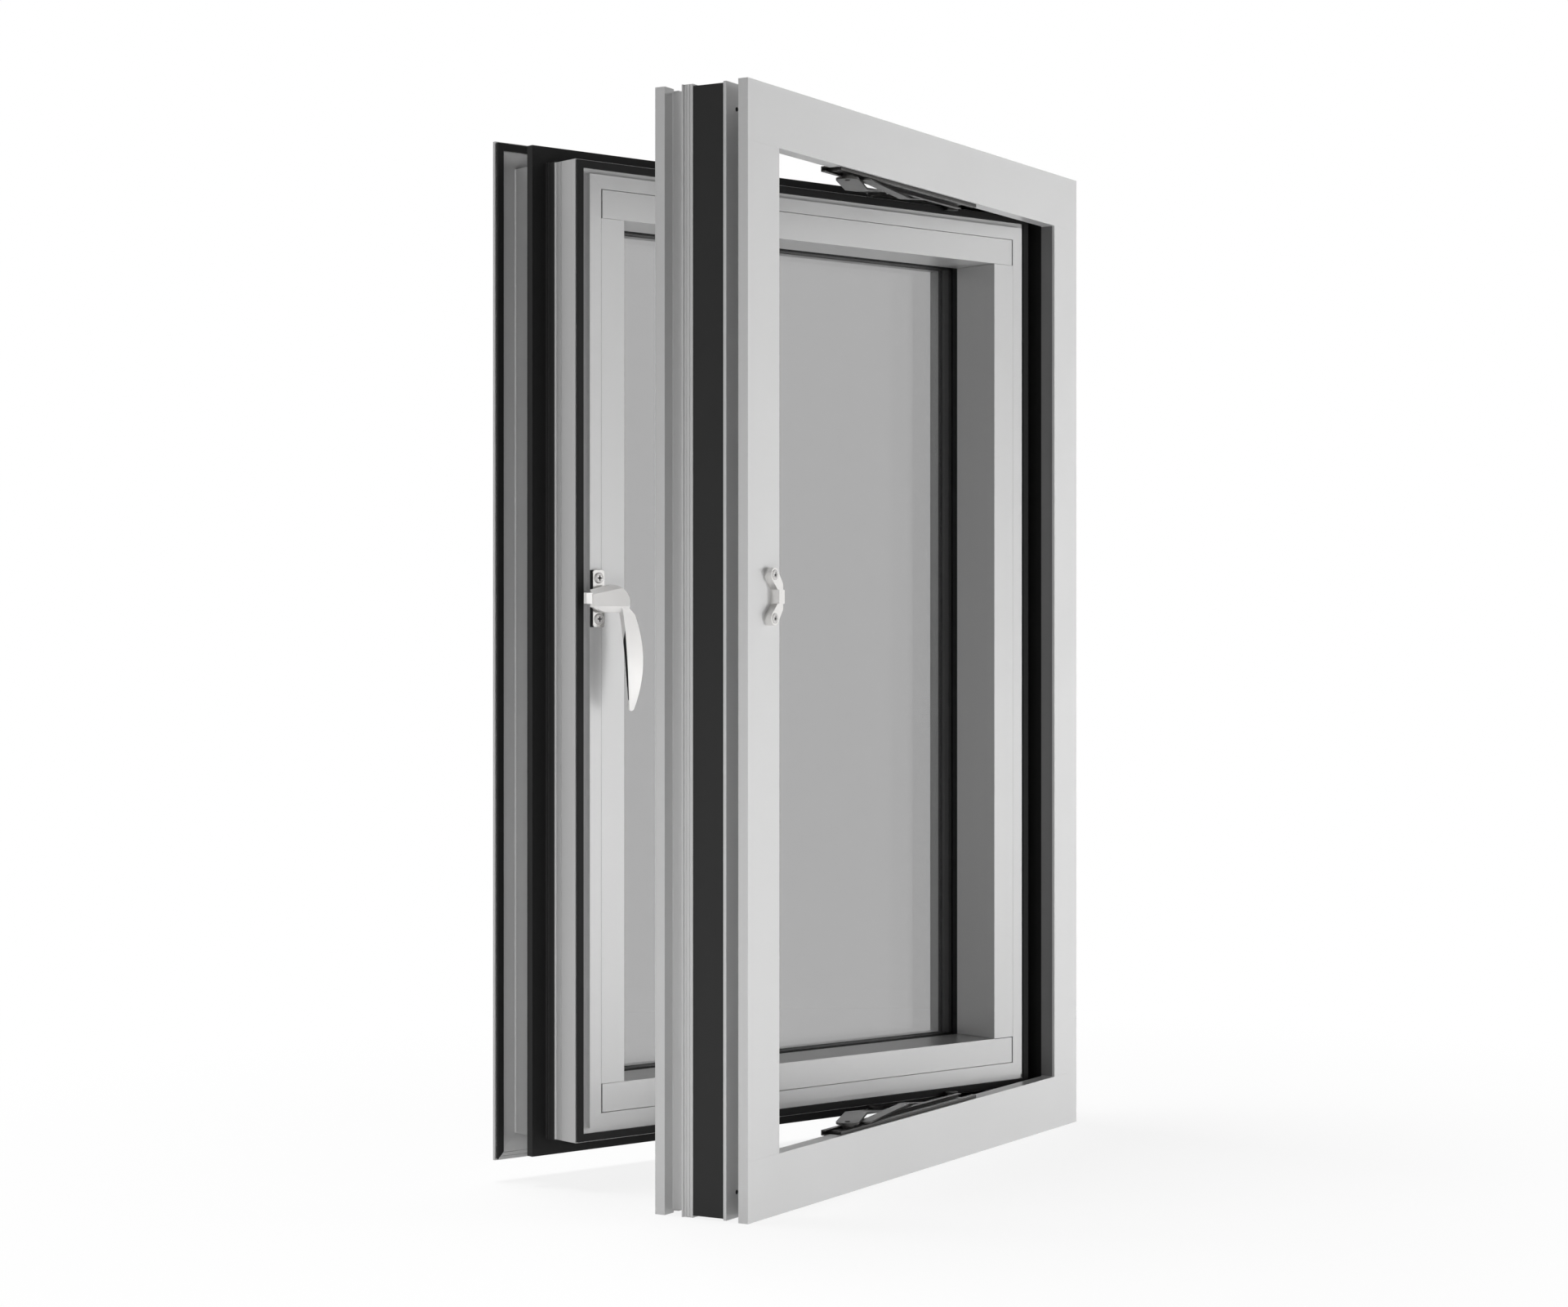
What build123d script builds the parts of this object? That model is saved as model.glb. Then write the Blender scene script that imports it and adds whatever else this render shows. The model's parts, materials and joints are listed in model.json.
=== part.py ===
# Thermally broken aluminium casement window, opening outward, with the sash standing open.
# Units are millimetres. +X runs to the right seen from inside, +Y points outdoors and +Z is up.
# The origin lies on the underside of the sill, in the middle of its interior leg.
from build123d import *
from math import atan2, cos, degrees, hypot, radians, sin
import os

# Frame, overall
FRAME_W = 812.0
FRAME_H = 1200.0
WALL = 2.0

# Frame section: distances outward from the interior face, then inward from the outer edge
LEG_T = 11.8
LEG_BACK = 19.7
CHANNEL_END = 27.0
INTERIOR_END = 30.8
BREAK_END = 69.2
RIB_START = 80.2
RIB_END = 82.0
RECESS_END = 103.2
FRAME_DEPTH = 115.3
FACE_W = 65.0
LIP_T = 3.3
LIP_STEP = 2.6
CHANNEL_DEPTH = 29.0
NECK_T = 3.0
INTERIOR_LIP_INSET = 0.9
BREAK_INSET = 2.3
STRIP_INSET = 2.0
RECESS_DEPTH = 14.0
EXTERIOR_W = 30.0
RECESS_TRIM = 4.0
FINE_GROOVE = 0.6
FINE_GROOVE_W = 1.2

# Sash, size and pose
SASH_GAP_SIDE = 2.6
SASH_GAP_END = 3.9
SASH_ANGLE = 19.1
HINGE_EDGE_INSET = 89.0
HINGE_EDGE_OUT = 34.0

# Sash section: depths behind the interior face, then offsets outward from the face's edge
STEP_DEPTH = 6.0
RING_END = 43.4
FIN_START = 60.0
FIN_END = 70.0
STOP_T = 15.0
FLANGE_T = 4.0
RING_OFFSET = 15.6
BREAK_OFFSET = 17.0
RING_GROOVE_AT = 32.8
FIN_OFFSET = 35.4
BODY_OFFSET = 17.0
FLANGE_OFFSET = 45.5

# Glazing: insets from the face's edge, then thicknesses
BEAD_INSET = 15.7
SIGHT_INSET = 48.0
BEAD_DEPTH = 67.0
BEAD_GAP = 0.7
BEAD_SIDE_GAP = 0.3
BEAD_END_GAP = 1.2
INNER_GASKET_T = 8.0
GASKET_W = 10.0
PANE_T = 6.0
CAVITY_T = 16.0
OUTER_GASKET_T = 4.0
PANE_INSET = 24.0
SPACER_W = 14.0

# Seals
WEATHER_SEAL_IN = 6.2
WEATHER_SEAL_T = 3.0
WEATHER_SEAL_LIP = 0.9
FLANGE_SEAL_IN = 36.0
FLANGE_SEAL_W = 8.0
FLANGE_SEAL_T = 4.0
RAIL_GROOVES = (37.0, 41.3)
MITRE_GAP = 0.2

# Friction stays: track on the frame, bar on the sash, two arms between them
TRACK_START = 207.0
TRACK_LEN = 330.0
TRACK_W = 26.0
TRACK_H = 6.0
TRACK_SET_BACK = 4.0
TRACK_LIP = 5.5
SHEET_T = 1.5
SLIDER_LEN = 52.0
SLIDER_AT = 37.0
SLIDER_PLAY = 0.3
SHORT_ARM_AT = 68.0
SHORT_ARM_IN = 6.0
SHORT_ARM_T = 2.0
LONG_ARM_T = 2.5
ARM_PLAY = 0.5
BOSS_D = 15.0
STUD_D = 8.0
LONG_ARM_W = 26.0
LONG_ARM_TIP_W = 24.0
SHORT_ARM_W = 13.0
SHORT_ARM_TIP_W = 11.0
ARM_END_FLAT = 22.0
BAR_T = 3.0
BAR_FRONT = -9.0
BAR_W = 26.0
BAR_LONG_PIVOT = 240.0
BAR_END = 140.0
KNOB_AT = 128.0
KNOB_D = 17.0
KNOB_H = 6.0
KNOB_PLAY = 0.5

# Cam handle on the lock stile
HANDLE_ABOVE_MIDDLE = 58.2
PAD_T = 4.5
BASE_H = 63.5
BASE_T = 1.6
BASE_CORNER = 3.0
HUB_D = 15.0
HUB_H = 5.2
PIVOT_D = 8.0
PIVOT_LEN = 6.0
PIVOT_PLAY = 0.05
HANDLE_LIFT = 0.3
TONGUE_REACH = 24.7
TONGUE_H = 12.0
TONGUE_T = 4.8
CRANK_LEFT = 16.3
CRANK_RIGHT = 24.5
CRANK_LEFT_OUT = 17.0
CRANK_SLOPE = 0.347
CRANK_T = 10.0
CRANK_TOP = 15.3
CRANK_LOW = 15.5
CRANK_LEFT_TOP = 9.8
CRANK_LEFT_LOW = 9.5
CRANK_PEAK_X = 8.0
CRANK_BEVEL_TOP = 5.5
CRANK_BEVEL_LOW = 6.8
CRANK_BEVEL_BACK = 4.0
LEVER_LEFT = 16.4
LEVER_RIGHT = 38.7
LEVER_TOP_RIGHT = 32.5
LEVER_TOP = 18.0
LEVER_DROP = 125.0
LEVER_TIP_X = 26.0
LEVER_TIP_R = 3.6
LEVER_ROOT_OUT = 26.5
LEVER_OUT = 36.5
LEVER_TIP_OUT = 32.0
LEVER_ROOT_T = 7.0
LEVER_T = 5.2
LEVER_TIP_T = 1.5

# Keeper on the frame's lock jamb
KEEPER_DROP = 1.0
KEEPER_SCREWS = 46.0
KEEPER_FROM_EDGE = 41.0
KEEPER_LUG_R = 7.7
KEEPER_T = 9.0
KEEPER_ARM_R = 2.0
KEEPER_ARM_H = 15.0
BRIDGE_LEFT = 46.3
BRIDGE_RIGHT = 57.6
BRIDGE_H = 15.0
BRIDGE_OUT = 11.0
BRIDGE_T = 2.5

# Derived sizes
SASH_W = FRAME_W - 2 * (FACE_W + SASH_GAP_SIDE)
BASE_W = BEAD_INSET
HANDLE_FROM_EDGE = BEAD_INSET / 2
SASH_H = FRAME_H - 2 * (FACE_W + SASH_GAP_END)
MOUNT_Y = LEG_T / 2
MIDDLE_Z = FRAME_H / 2
GLASS_IN = BEAD_DEPTH + INNER_GASKET_T
GLASS_OUT = GLASS_IN + 2 * PANE_T + CAVITY_T
STOP_START = GLASS_OUT + OUTER_GASKET_T
SASH_DEPTH = STOP_START + STOP_T
FLANGE_START = SASH_DEPTH - FLANGE_T
SASH_DIR = (cos(radians(SASH_ANGLE)), -sin(radians(SASH_ANGLE)))
SASH_OUT = (sin(radians(SASH_ANGLE)), cos(radians(SASH_ANGLE)))
HINGE_EDGE = (FRAME_W / 2 - HINGE_EDGE_INSET, HINGE_EDGE_OUT - MOUNT_Y)
SASH_X = HINGE_EDGE[0] - SASH_DIR[0] * SASH_W / 2
SASH_Y = HINGE_EDGE[1] - SASH_DIR[1] * SASH_W / 2
FRAME_PLACE = Pos(0, -MOUNT_Y, MIDDLE_Z)
SASH_PLACE = Pos(SASH_X, SASH_Y, MIDDLE_Z) * Rot(0, 0, -SASH_ANGLE)

OVERRUN = 1.0


def prism(points, direction, holes=()):
    """Solid of a flat polygon, with polygonal holes, drawn out along a direction."""
    outer = Wire.make_polygon([Vector(*p) for p in points], close=True)
    inner = [Wire.make_polygon([Vector(*p) for p in hole], close=True) for hole in holes]
    return Solid.extrude(Face(outer, inner), Vector(*direction))


def rectangle(low, high):
    """Corner points of a rectangle between two opposite corners."""
    return [low, (high[0], low[1]), high, (low[0], high[1])]


def mitred_ring(section, cavities, width, height, gap=0.0):
    """Four members round a width by height rectangle, cut at 45 degrees where they meet.

    The section's points are (inset from the rectangle's edge, depth)."""
    half_w = width / 2
    half_h = height / 2
    low = min(inset for inset, depth in section) - OVERRUN
    high = max(inset for inset, depth in section) + OVERRUN
    front = min(depth for inset, depth in section) - OVERRUN
    back = max(depth for inset, depth in section) + OVERRUN
    cut = (0, back - front, 0)

    def place_bottom(inset, depth):
        return (-half_w + low, depth, -half_h + inset)

    def place_left(inset, depth):
        return (-half_w + inset, depth, -half_h + low)

    def member(place, direction):
        outline = [place(*p) for p in section]
        holes = [[place(*p) for p in cavity] for cavity in cavities]
        return prism(outline, direction, holes)

    bottom_wedge = prism(
        [(-half_w + low + gap, front, -half_h + low), (half_w - low - gap, front, -half_h + low),
         (half_w - high - gap, front, -half_h + high), (-half_w + high + gap, front, -half_h + high)], cut)
    left_wedge = prism(
        [(-half_w + low, front, -half_h + low + gap), (-half_w + high, front, -half_h + high + gap),
         (-half_w + high, front, half_h - high - gap), (-half_w + low, front, half_h - low - gap)], cut)
    bottom = member(place_bottom, (width - 2 * low, 0, 0)) & bottom_wedge
    left = member(place_left, (0, 0, height - 2 * low)) & left_wedge
    return {"bottom": bottom, "top": mirror(bottom, about=Plane.XY),
            "left": left, "right": mirror(left, about=Plane.YZ)}


def plain_ring(width, height, inset_out, inset_in, front, back):
    """One flat rectangular ring between two insets and two depths."""
    depth = back - front
    outer = Box(width - 2 * inset_out, depth, height - 2 * inset_out)
    inner = Box(width - 2 * inset_in, depth + 2 * OVERRUN, height - 2 * inset_in)
    return Pos(0, (front + back) / 2, 0) * (outer - inner)


def flat_bar(length, start_w, end_w, thickness):
    """Plate along +X from one pivot to another, with round ends, its underside at Z = 0."""
    outline = make_hull((Pos(0, 0) * Circle(start_w / 2) + Pos(length, 0) * Circle(end_w / 2)).edges())
    return extrude(outline, amount=thickness)


def frame_interior():
    """Interior head, sill and jambs: the head and sill run full width, the jambs stand between."""
    neck = CHANNEL_DEPTH + NECK_T
    section = [(0, 0), (FACE_W, 0), (FACE_W, LIP_T), (FACE_W - LIP_STEP, LIP_T),
               (FACE_W - LIP_STEP, LEG_BACK), (neck, LEG_BACK), (neck, INTERIOR_END),
               (INTERIOR_LIP_INSET, INTERIOR_END), (INTERIOR_LIP_INSET, CHANNEL_END),
               (CHANNEL_DEPTH, CHANNEL_END), (CHANNEL_DEPTH, LEG_T), (0, LEG_T)]
    leg_cavity = rectangle((WALL, WALL), (CHANNEL_DEPTH, LEG_T - WALL))
    body_cavity = rectangle((CHANNEL_DEPTH + WALL, WALL), (FACE_W - LIP_STEP - WALL, LEG_BACK - WALL))
    members = mitred_ring(section, [leg_cavity, body_cavity], FRAME_W, FRAME_H)
    ring = members["bottom"] + members["left"] + members["top"] + members["right"]
    full_w = FRAME_W + 2 * OVERRUN
    rail = Box(full_w, 4 * INTERIOR_END, FACE_W)
    side = Box(full_w / 2, 4 * INTERIOR_END, FRAME_H - 2 * FACE_W)
    rail_z = FRAME_H / 2 - FACE_W / 2
    side_x = full_w / 4
    return {"frame_interior_head": ring & (Pos(0, 0, rail_z) * rail),
            "frame_interior_sill": ring & (Pos(0, 0, -rail_z) * rail),
            "frame_interior_left_jamb": ring & (Pos(-side_x, 0, 0) * side),
            "frame_interior_right_jamb": ring & (Pos(side_x, 0, 0) * side)}


def frame_exterior():
    """Exterior jambs run full height; the head and sill stand between them."""
    recess = RECESS_DEPTH + STRIP_INSET
    section = [(STRIP_INSET, BREAK_END), (EXTERIOR_W, BREAK_END), (EXTERIOR_W, FRAME_DEPTH),
               (0, FRAME_DEPTH), (0, RECESS_END), (recess, RECESS_END), (recess, RIB_END),
               (0, RIB_END), (0, RIB_START), (STRIP_INSET, RIB_START)]
    strip = RIB_START - BREAK_END
    for share in (2, 1):
        middle = BREAK_END + strip * share / 3
        section += [(STRIP_INSET, middle + FINE_GROOVE_W / 2),
                    (STRIP_INSET + FINE_GROOVE, middle + FINE_GROOVE_W / 2),
                    (STRIP_INSET + FINE_GROOVE, middle - FINE_GROOVE_W / 2),
                    (STRIP_INSET, middle - FINE_GROOVE_W / 2)]
    cavity = rectangle((recess + WALL, BREAK_END + WALL), (EXTERIOR_W - WALL, FRAME_DEPTH - WALL))
    side = -FRAME_W / 2
    foot = -FRAME_H / 2
    between = FRAME_W - 2 * EXTERIOR_W
    jamb = prism([(side + p, n, foot) for p, n in section], (0, 0, FRAME_H),
                 [[(side + p, n, foot) for p, n in cavity]])
    notch = Box(2 * EXTERIOR_W, RECESS_END - RIB_END, 2 * RECESS_TRIM)
    for end in (1, -1):
        jamb -= Pos(side + recess, (RIB_END + RECESS_END) / 2, end * FRAME_H / 2) * notch
    sill = prism([(-between / 2, n, foot + p) for p, n in section], (between, 0, 0),
                 [[(-between / 2, n, foot + p) for p, n in cavity]])
    return {"frame_exterior_head": mirror(sill, about=Plane.XY), "frame_exterior_sill": sill,
            "frame_exterior_left_jamb": jamb, "frame_exterior_right_jamb": mirror(jamb, about=Plane.YZ)}


def frame_break():
    """Black insulating bars between the two halves of the frame."""
    section = rectangle((BREAK_INSET, INTERIOR_END), (EXTERIOR_W, BREAK_END))
    cavity = rectangle((BREAK_INSET + WALL, INTERIOR_END + WALL), (EXTERIOR_W - WALL, BREAK_END - WALL))
    members = mitred_ring(section, [cavity], FRAME_W, FRAME_H, MITRE_GAP)
    return {"frame_thermal_break": Compound(list(members.values()))}


def sash_interior():
    """Interior stiles and rails: raised face, ledge for the weather seal and a grooved edge."""
    groove = (RING_GROOVE_AT - FINE_GROOVE_W / 2, RING_GROOVE_AT + FINE_GROOVE_W / 2)
    section = [(0, 0), (BEAD_INSET, 0), (BEAD_INSET, RING_END), (-RING_OFFSET, RING_END),
               (-RING_OFFSET, groove[1]), (FINE_GROOVE - RING_OFFSET, groove[1]),
               (FINE_GROOVE - RING_OFFSET, groove[0]), (-RING_OFFSET, groove[0]),
               (-RING_OFFSET, STEP_DEPTH), (0, STEP_DEPTH)]
    cavity = rectangle((WALL - RING_OFFSET + FINE_GROOVE, STEP_DEPTH + WALL),
                       (BEAD_INSET - WALL, RING_END - WALL))
    return mitred_ring(section, [cavity], SASH_W, SASH_H)


def sash_break():
    """Dark insulating bars between the two halves of the sash."""
    section = rectangle((-BREAK_OFFSET, RING_END), (BEAD_INSET, FIN_START))
    cavity = rectangle((WALL - BREAK_OFFSET, RING_END + WALL), (BEAD_INSET - WALL, FIN_START - WALL))
    members = mitred_ring(section, [cavity], SASH_W, SASH_H, MITRE_GAP)
    return Compound(list(members.values()))


def centre_gasket():
    """Black gasket whose fin stands out all round the sash."""
    return plain_ring(SASH_W, SASH_H, -FIN_OFFSET, BEAD_INSET, FIN_START, FIN_END)


def sash_exterior():
    """Exterior stiles and rails: hollow body, glazing stop and the flange that laps the frame.

    The bottom rail's flange has two fine grooves where the others carry a seal."""
    section = [(BEAD_INSET, FIN_END), (BEAD_INSET, STOP_START), (SIGHT_INSET, STOP_START),
               (SIGHT_INSET, SASH_DEPTH), (-FLANGE_OFFSET, SASH_DEPTH), (-FLANGE_OFFSET, FLANGE_START),
               (-BODY_OFFSET, FLANGE_START), (-BODY_OFFSET, FIN_END)]
    body_cavity = rectangle((-BODY_OFFSET + WALL, FIN_END + WALL), (BEAD_INSET - WALL, SASH_DEPTH - WALL))
    stop_cavity = rectangle((BEAD_INSET, STOP_START + WALL), (SIGHT_INSET - WALL, SASH_DEPTH - WALL))
    members = mitred_ring(section, [body_cavity, stop_cavity], SASH_W, SASH_H)
    groove = Box(SASH_W + 4 * FLANGE_OFFSET, 2 * FINE_GROOVE, FINE_GROOVE_W)
    for offset in RAIL_GROOVES:
        members["bottom"] -= Pos(0, FLANGE_START, -SASH_H / 2 - offset) * groove
    return members


def glazing_beads():
    """Hollow beads: top and bottom run full width, the side beads stand between them."""
    outer = BEAD_INSET + BEAD_GAP
    width = SIGHT_INSET - outer
    side_w = SIGHT_INSET - BEAD_INSET - BEAD_SIDE_GAP
    across = SASH_W - 2 * (outer + BEAD_END_GAP)
    between = SASH_H - 2 * (SIGHT_INSET + BEAD_SIDE_GAP)
    rail_z = SASH_H / 2 - outer - width / 2
    side_x = SASH_W / 2 - SIGHT_INSET + side_w / 2
    rail_core = Box(across + 2 * OVERRUN, BEAD_DEPTH - 2 * WALL, width - 2 * WALL)
    side_core = Box(side_w - 2 * WALL, BEAD_DEPTH - 2 * WALL, between + 2 * OVERRUN)
    rail = Box(across, BEAD_DEPTH, width) - rail_core
    side = Box(side_w, BEAD_DEPTH, between) - side_core
    mid = BEAD_DEPTH / 2
    return {"glazing_bead_top": Pos(0, mid, rail_z) * rail,
            "glazing_bead_bottom": Pos(0, mid, -rail_z) * rail,
            "glazing_bead_left": Pos(-side_x, mid, 0) * side,
            "glazing_bead_right": Pos(side_x, mid, 0) * side}


def glazing():
    """Two panes with a spacer between them, held between inner and outer gaskets."""
    pane = Box(SASH_W - 2 * PANE_INSET, PANE_T, SASH_H - 2 * PANE_INSET)
    inner_mid = GLASS_IN + PANE_T / 2
    outer_mid = GLASS_OUT - PANE_T / 2
    cavity = (GLASS_IN + PANE_T, GLASS_OUT - PANE_T)
    gasket = (SIGHT_INSET - GASKET_W, SIGHT_INSET)
    spacer = (SIGHT_INSET - SPACER_W, SIGHT_INSET)
    return {"pane_inner": Pos(0, inner_mid, 0) * pane, "pane_outer": Pos(0, outer_mid, 0) * pane,
            "pane_spacer": plain_ring(SASH_W, SASH_H, *spacer, *cavity),
            "glazing_gasket_inner": plain_ring(SASH_W, SASH_H, *gasket, BEAD_DEPTH, GLASS_IN),
            "glazing_gasket_outer": plain_ring(SASH_W, SASH_H, *gasket, GLASS_OUT, STOP_START)}


def sash_seals():
    """Weather seal on the ledge, and the flange seal on the sides and top."""
    weather_out = WEATHER_SEAL_LIP - RING_OFFSET
    weather_front = STEP_DEPTH - WEATHER_SEAL_T
    weather = plain_ring(SASH_W, SASH_H, weather_out, -WEATHER_SEAL_IN, weather_front, STEP_DEPTH)
    section = rectangle((-FLANGE_SEAL_IN - FLANGE_SEAL_W, FLANGE_START - FLANGE_SEAL_T),
                        (-FLANGE_SEAL_IN, FLANGE_START))
    members = mitred_ring(section, [], SASH_W, SASH_H)
    return {"sash_weather_seal": weather,
            "sash_flange_seal": members["left"] + members["top"] + members["right"]}


def sash_point(from_hinge_edge, depth):
    """Plan position of a point on the sash, from its hinge-side face edge and its depth."""
    return (HINGE_EDGE[0] - SASH_DIR[0] * from_hinge_edge + SASH_OUT[0] * depth,
            HINGE_EDGE[1] - SASH_DIR[1] * from_hinge_edge + SASH_OUT[1] * depth)


def cranked_arm(start, end, low_z, high_z, start_w, end_w, thickness, clear_y):
    """Arm between two plan points, level until it is clear of the track, then climbing to a level end."""
    length = hypot(end[0] - start[0], end[1] - start[1])
    turn = degrees(atan2(end[1] - start[1], end[0] - start[0]))
    rise = high_z - low_z
    first = -start_w
    flat = length * (clear_y - start[1] + start_w / 2) / (end[1] - start[1])
    landing = length - ARM_END_FLAT
    last = length + end_w
    side = [(first, 0, 0), (flat, 0, 0), (landing, 0, rise), (last, 0, rise), (last, 0, rise + thickness),
            (landing, 0, rise + thickness), (flat, 0, thickness), (first, 0, thickness)]
    strip = Pos(0, -start_w, 0) * prism(side, (0, 2 * start_w, 0))
    plan = flat_bar(length, start_w, end_w, rise + thickness + 2 * OVERRUN)
    arm = strip & (Pos(0, 0, -OVERRUN) * plan)
    return Pos(start[0], start[1], low_z) * Rot(0, 0, turn) * arm


def friction_stay():
    """Upper friction stay: track under the head, slider, two arms and the bar on the sash."""
    track_top = FRAME_H - FACE_W + LIP_STEP
    track_low = track_top - TRACK_H
    track_x = TRACK_START - FRAME_W / 2
    track_y = TRACK_SET_BACK + TRACK_W / 2 - MOUNT_Y
    half_w = TRACK_W / 2
    inside_w = TRACK_W - 2 * SHEET_T
    inside_h = TRACK_H - 2 * SHEET_T
    channel = [(0, -half_w, 0), (0, half_w, 0), (0, half_w, -TRACK_H), (0, half_w - TRACK_LIP, -TRACK_H),
               (0, half_w - TRACK_LIP, SHEET_T - TRACK_H), (0, half_w - SHEET_T, SHEET_T - TRACK_H),
               (0, half_w - SHEET_T, -SHEET_T), (0, SHEET_T - half_w, -SHEET_T),
               (0, SHEET_T - half_w, SHEET_T - TRACK_H), (0, TRACK_LIP - half_w, SHEET_T - TRACK_H),
               (0, TRACK_LIP - half_w, -TRACK_H), (0, -half_w, -TRACK_H)]
    short_top = track_low - ARM_PLAY
    short_low = short_top - SHORT_ARM_T
    long_top = short_low - ARM_PLAY
    long_low = long_top - LONG_ARM_T
    short_start = (track_x + SHORT_ARM_AT, track_y - SHORT_ARM_IN)
    stud_h = track_top - SHEET_T - short_top
    stud = Pos(short_start[0], short_start[1], short_top + stud_h / 2) * Cylinder(STUD_D / 2, stud_h)
    track = Pos(track_x, track_y, track_top) * prism(channel, (TRACK_LEN, 0, 0)) + stud

    long_start = (track_x + SLIDER_AT, track_y)
    slider_h = inside_h - SLIDER_PLAY
    slider_z = track_low + SHEET_T + slider_h / 2
    boss_h = track_low + SHEET_T - long_top
    slider = Pos(*long_start, slider_z) * Box(SLIDER_LEN, inside_w - 2 * SLIDER_PLAY, slider_h)
    slider += Pos(*long_start, long_top + boss_h / 2) * Cylinder(BOSS_D / 2 - SLIDER_PLAY, boss_h)

    bar_low = MIDDLE_Z + SASH_H / 2 + RING_OFFSET
    bar_top = bar_low + BAR_T
    pivot_depth = BAR_FRONT + BAR_W / 2
    knob_depth = STEP_DEPTH - WEATHER_SEAL_T - KNOB_PLAY - KNOB_D / 2
    long_end = sash_point(BAR_LONG_PIVOT, pivot_depth)
    short_end = sash_point(KNOB_AT, knob_depth)
    clear_y = track_y + half_w + ARM_PLAY
    long_arm = cranked_arm(long_start, long_end, long_low, bar_top,
                           LONG_ARM_W, LONG_ARM_TIP_W, LONG_ARM_T, clear_y)
    short_arm = cranked_arm(short_start, short_end, short_low, bar_top,
                            SHORT_ARM_W, SHORT_ARM_TIP_W, SHORT_ARM_T, clear_y)

    plate = flat_bar(BAR_LONG_PIVOT - BAR_END, BAR_W, BAR_W, BAR_T)
    bar = Pos(SASH_W / 2 - BAR_LONG_PIVOT, pivot_depth, 0) * plate
    knob_z = (BAR_T - KNOB_H) / 2
    bar += Pos(SASH_W / 2 - KNOB_AT, knob_depth, knob_z) * Cylinder(KNOB_D / 2, KNOB_H + BAR_T)
    bar = Pos(SASH_X, SASH_Y, bar_low) * Rot(0, 0, -SASH_ANGLE) * bar
    return {"stay_track": track, "stay_slider": slider, "stay_long_arm": long_arm,
            "stay_short_arm": short_arm, "stay_sash_bar": bar}


def handle_base():
    """Base with its hub and pivot stub, and the black pad under it, at the pivot's place."""
    pad = Pos(0, -PAD_T / 2, 0) * Box(BASE_W, PAD_T, BASE_H)
    plate = Box(BASE_W, BASE_T, BASE_H)
    plate = fillet(plate.edges().filter_by(Axis.Y), BASE_CORNER)
    front = PAD_T + BASE_T
    base = Pos(0, -PAD_T - BASE_T / 2, 0) * plate
    base += Pos(0, -front - HUB_H / 2, 0) * Rot(90, 0, 0) * Cylinder(HUB_D / 2, HUB_H)
    base += Pos(0, -front - HUB_H - PIVOT_LEN / 2, 0) * Rot(90, 0, 0) * Cylinder(PIVOT_D / 2, PIVOT_LEN)
    return {"handle_pad": pad, "handle_base": base}


def bevel_wedge(edge_start, edge_run, back, rise):
    """Three-sided cutter that takes the corner off along an edge of the crank's front face."""
    x, y, z = [at - run / 2 for at, run in zip(edge_start, edge_run)]
    corner = [(x, y, z), (x, y + 2 * back, z + 2 * rise), (x, y - 2 * back, z + 2 * rise)]
    return prism(corner, [2 * run for run in edge_run])


def crank(start):
    """Slanting front piece over the pivot, with bevelled edges above and below its front face."""
    width = CRANK_LEFT + CRANK_RIGHT
    right_out = CRANK_LEFT_OUT + CRANK_SLOPE * width
    plan = [(-CRANK_LEFT, -start), (-CRANK_LEFT, -CRANK_LEFT_OUT), (CRANK_RIGHT, -right_out),
            (CRANK_RIGHT, CRANK_T - right_out), (HUB_D / 2, -start)]
    slab = prism([(x, y, -LEVER_DROP) for x, y in plan], (0, 0, 2 * LEVER_DROP))
    left_low = (-CRANK_LEFT, -CRANK_LEFT_LOW)
    left_top = (-CRANK_LEFT, CRANK_LEFT_TOP)
    peak = (CRANK_PEAK_X, CRANK_TOP)
    brow = (CRANK_PEAK_X + 0.75 * (CRANK_RIGHT - CRANK_PEAK_X), CRANK_TOP / 2)
    right = (CRANK_RIGHT, -LEVER_TOP / 2)
    right_low = (CRANK_RIGHT, -CRANK_LOW)
    outline = Line(left_low, left_top) + Line(left_top, peak)
    outline += ThreePointArc(peak, brow, right)
    outline += Line(right, right_low) + Line(right_low, (0, -CRANK_LOW))
    outline += Line((0, -CRANK_LOW), left_low)
    body = slab & extrude(Plane.XZ * make_face(outline), amount=2 * LEVER_OUT)
    climb = (CRANK_TOP - CRANK_LEFT_TOP) * width / (CRANK_PEAK_X + CRANK_LEFT)
    top_edge = (-CRANK_LEFT, -CRANK_LEFT_OUT, CRANK_LEFT_TOP - CRANK_BEVEL_TOP)
    low_edge = (-CRANK_LEFT, -CRANK_LEFT_OUT, CRANK_BEVEL_LOW - CRANK_LOW)
    out = CRANK_LEFT_OUT - right_out
    body -= bevel_wedge(top_edge, (width, out, climb), CRANK_BEVEL_BACK, CRANK_BEVEL_TOP)
    body -= bevel_wedge(low_edge, (width, out, 0), CRANK_BEVEL_BACK, -CRANK_BEVEL_LOW)
    return body


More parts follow.
